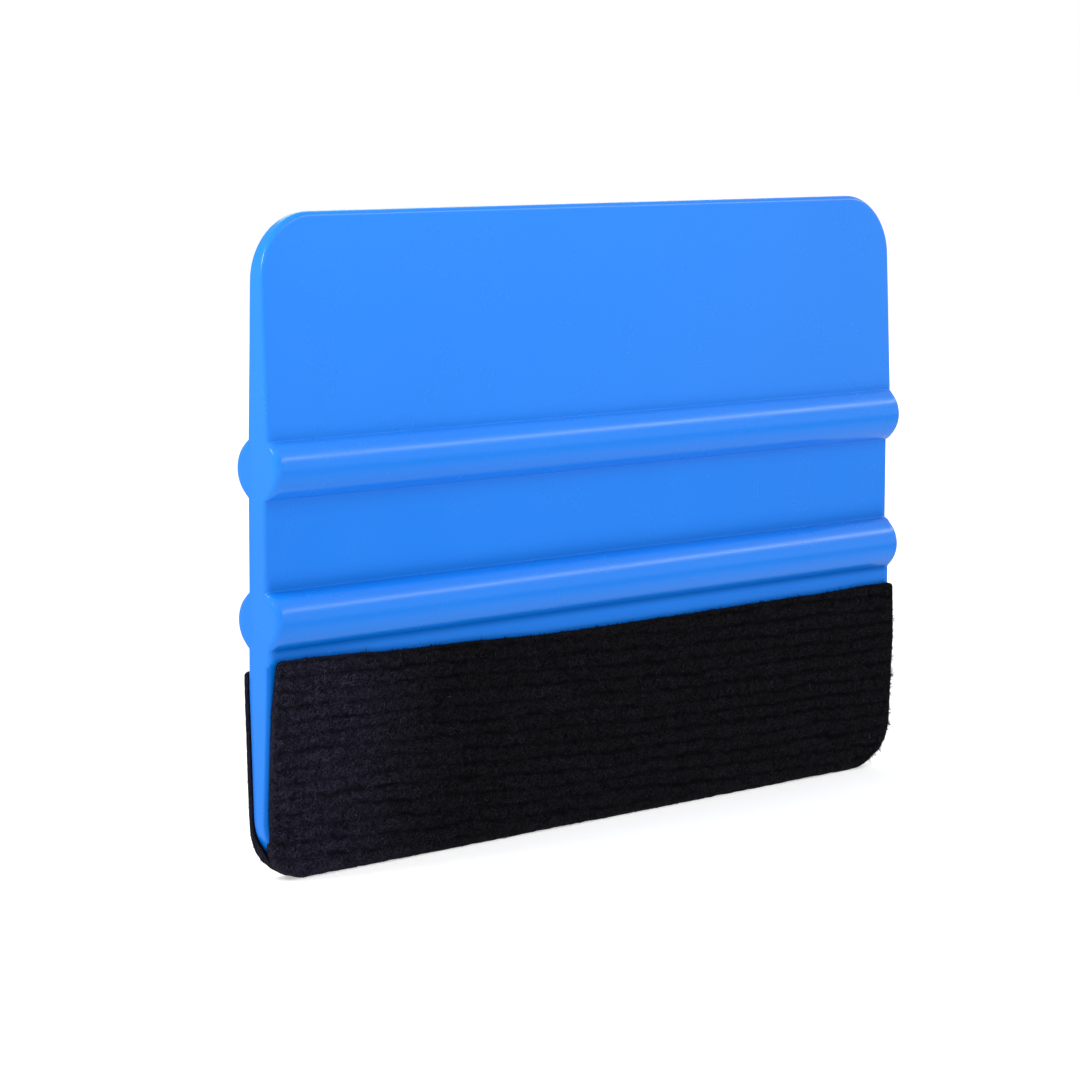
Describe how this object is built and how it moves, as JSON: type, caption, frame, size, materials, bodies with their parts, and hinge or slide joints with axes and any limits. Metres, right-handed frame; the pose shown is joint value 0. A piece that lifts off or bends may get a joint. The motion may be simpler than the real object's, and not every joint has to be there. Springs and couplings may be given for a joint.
{
  "type": "squeegee applicator",
  "caption": "Flat moulded plastic card with two round grip beads across it and a felt strip folded over its working edge, for smoothing vinyl film.",
  "frame": {"origin": "middle of the working edge, at the bottom of the felt fold", "axes": "+X along the working edge, -Y out of the front face, +Z from the working edge to the plain edge"},
  "size_m": [0.1, 0.0068, 0.07],
  "materials": {
    "blade_plastic": "smooth moulded bright blue plastic, satin gloss, slightly translucent at its edges",
    "felt": "matt black felt with fine rows along the edge and a short loose nap",
    "adhesive": "thin cloudy pressure-sensitive adhesive"
  },
  "bodies": {
    "root": {"blade_body": "blade_plastic", "felt_strip": "felt", "adhesive_film": "adhesive"}
  },
  "joints": []
}
